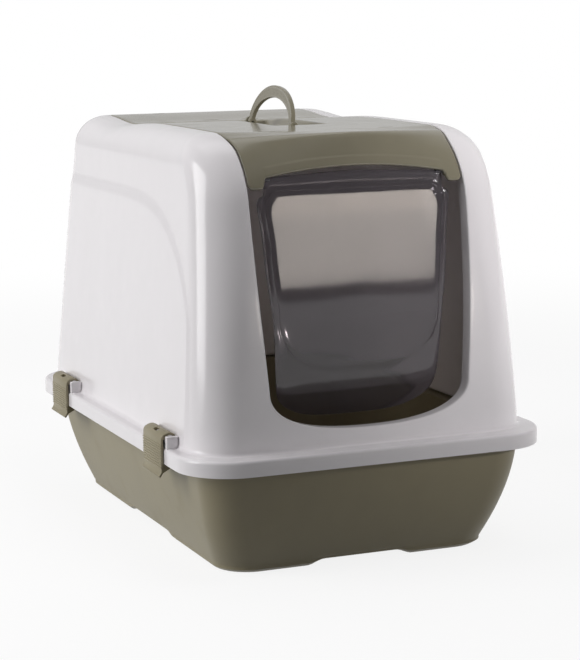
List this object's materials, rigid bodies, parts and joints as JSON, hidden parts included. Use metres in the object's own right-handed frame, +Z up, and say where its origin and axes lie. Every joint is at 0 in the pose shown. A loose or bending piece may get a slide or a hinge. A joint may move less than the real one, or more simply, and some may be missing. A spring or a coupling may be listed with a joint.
{
  "type": "hooded litter box",
  "caption": "Hooded front-entry litter box: tray, clip-on hood, lift-up lid with bail handle and swing flap, and a hinged filter cover.",
  "frame": {"origin": "on the floor, under the middle of the box", "axes": "+Z up, -Y towards the cat door, +X to the right of someone who faces the door from behind the box"},
  "size_m": [0.4008, 0.56, 0.4689],
  "materials": {
    "taupe_plastic": "satin moulded plastic, taupe",
    "white_plastic": "gloss moulded plastic, white",
    "taupe_gloss": "gloss moulded plastic, taupe",
    "smoked_clear": "clear smoked plastic",
    "filter_felt": "felt pad loaded with charcoal"
  },
  "bodies": {
    "box": {"tray": "taupe_plastic", "hood": "white_plastic", "filter_grate": "white_plastic", "charcoal_filter": "filter_felt"},
    "lid": {"front_lid": "taupe_gloss"},
    "cover": {"filter_cover": "taupe_gloss"},
    "flap": {"flap": "smoked_clear"},
    "handle": {"handle": "taupe_gloss"},
    "clip_fl": {"clip_front_left": "taupe_plastic"},
    "clip_fr": {"clip_front_right": "taupe_plastic"},
    "clip_rl": {"clip_rear_left": "taupe_plastic"},
    "clip_rr": {"clip_rear_right": "taupe_plastic"}
  },
  "joints": [
    {"name": "lid_hinge", "type": "hinge", "parent": "box", "child": "lid", "pos_m": [0, 0.094, 0.41983], "axis": [-1, 0, 0], "range_deg": [0, 75]},
    {"name": "cover_hinge", "type": "hinge", "parent": "box", "child": "cover", "pos_m": [0, 0.1944, 0.42629], "axis": [-1, 0, 0], "range_deg": [0, 70]},
    {"name": "flap_swing", "type": "hinge", "parent": "lid", "child": "flap", "pos_m": [0, -0.21354, 0.388], "axis": [-1, 0, 0], "range_deg": [-60, 55]},
    {"name": "handle_fold", "type": "hinge", "parent": "lid", "child": "handle", "pos_m": [0, 0, 0.42813], "axis": [0, 1, 0], "range_deg": [-88, 68]},
    {"name": "clip_front_left_latch", "type": "hinge", "parent": "box", "child": "clip_fl", "pos_m": [-0.1885, -0.162, 0.1348], "axis": [0, 1, 0], "range_deg": [0, 110]},
    {"name": "clip_front_right_latch", "type": "hinge", "parent": "box", "child": "clip_fr", "pos_m": [0.1885, -0.162, 0.1348], "axis": [0, -1, 0], "range_deg": [0, 110]},
    {"name": "clip_rear_left_latch", "type": "hinge", "parent": "box", "child": "clip_rl", "pos_m": [-0.1885, 0.162, 0.1348], "axis": [0, 1, 0], "range_deg": [0, 110]},
    {"name": "clip_rear_right_latch", "type": "hinge", "parent": "box", "child": "clip_rr", "pos_m": [0.1885, 0.162, 0.1348], "axis": [0, -1, 0], "range_deg": [0, 110]}
  ]
}
